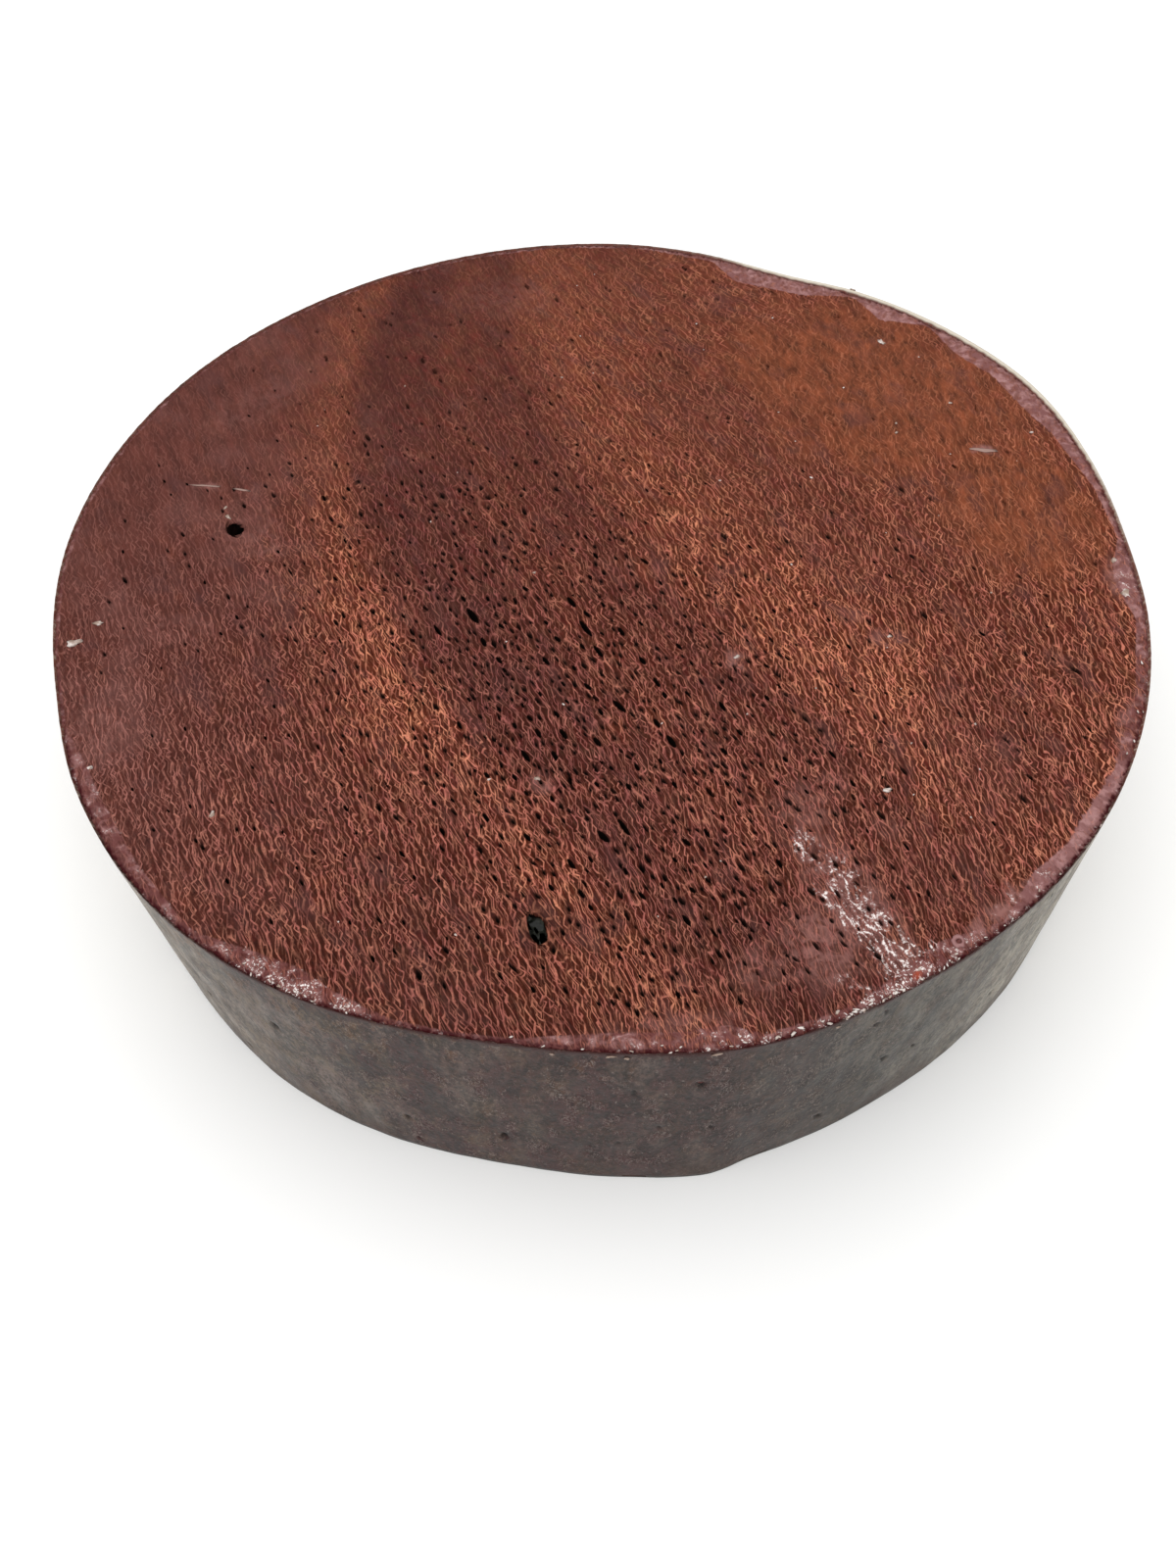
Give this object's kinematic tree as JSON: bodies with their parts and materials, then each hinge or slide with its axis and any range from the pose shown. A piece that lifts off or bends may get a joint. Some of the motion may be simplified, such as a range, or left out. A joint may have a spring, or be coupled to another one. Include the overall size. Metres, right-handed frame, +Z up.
{
  "type": "wood slice",
  "caption": "Round slice of dark red, net-figured timber with open pores, its sawn rim sealed in wax; a blank to turn, carve or stand things on.",
  "frame": {"origin": "middle of the base, under the middle of the outline's bounding box", "axes": "+Z up through the thickness, from the base to the figured top face; +X to the right of the picture, -Y towards it"},
  "size_m": [0.199, 0.2014, 0.05],
  "materials": {
    "sealed_wood": "bare sawn and sanded face with a net figure of orange strands on dark red, open pores, and a grey-mauve wax film on the rim that laps on to the face"
  },
  "bodies": {
    "root": {"wood_slice": "sealed_wood"}
  },
  "joints": []
}
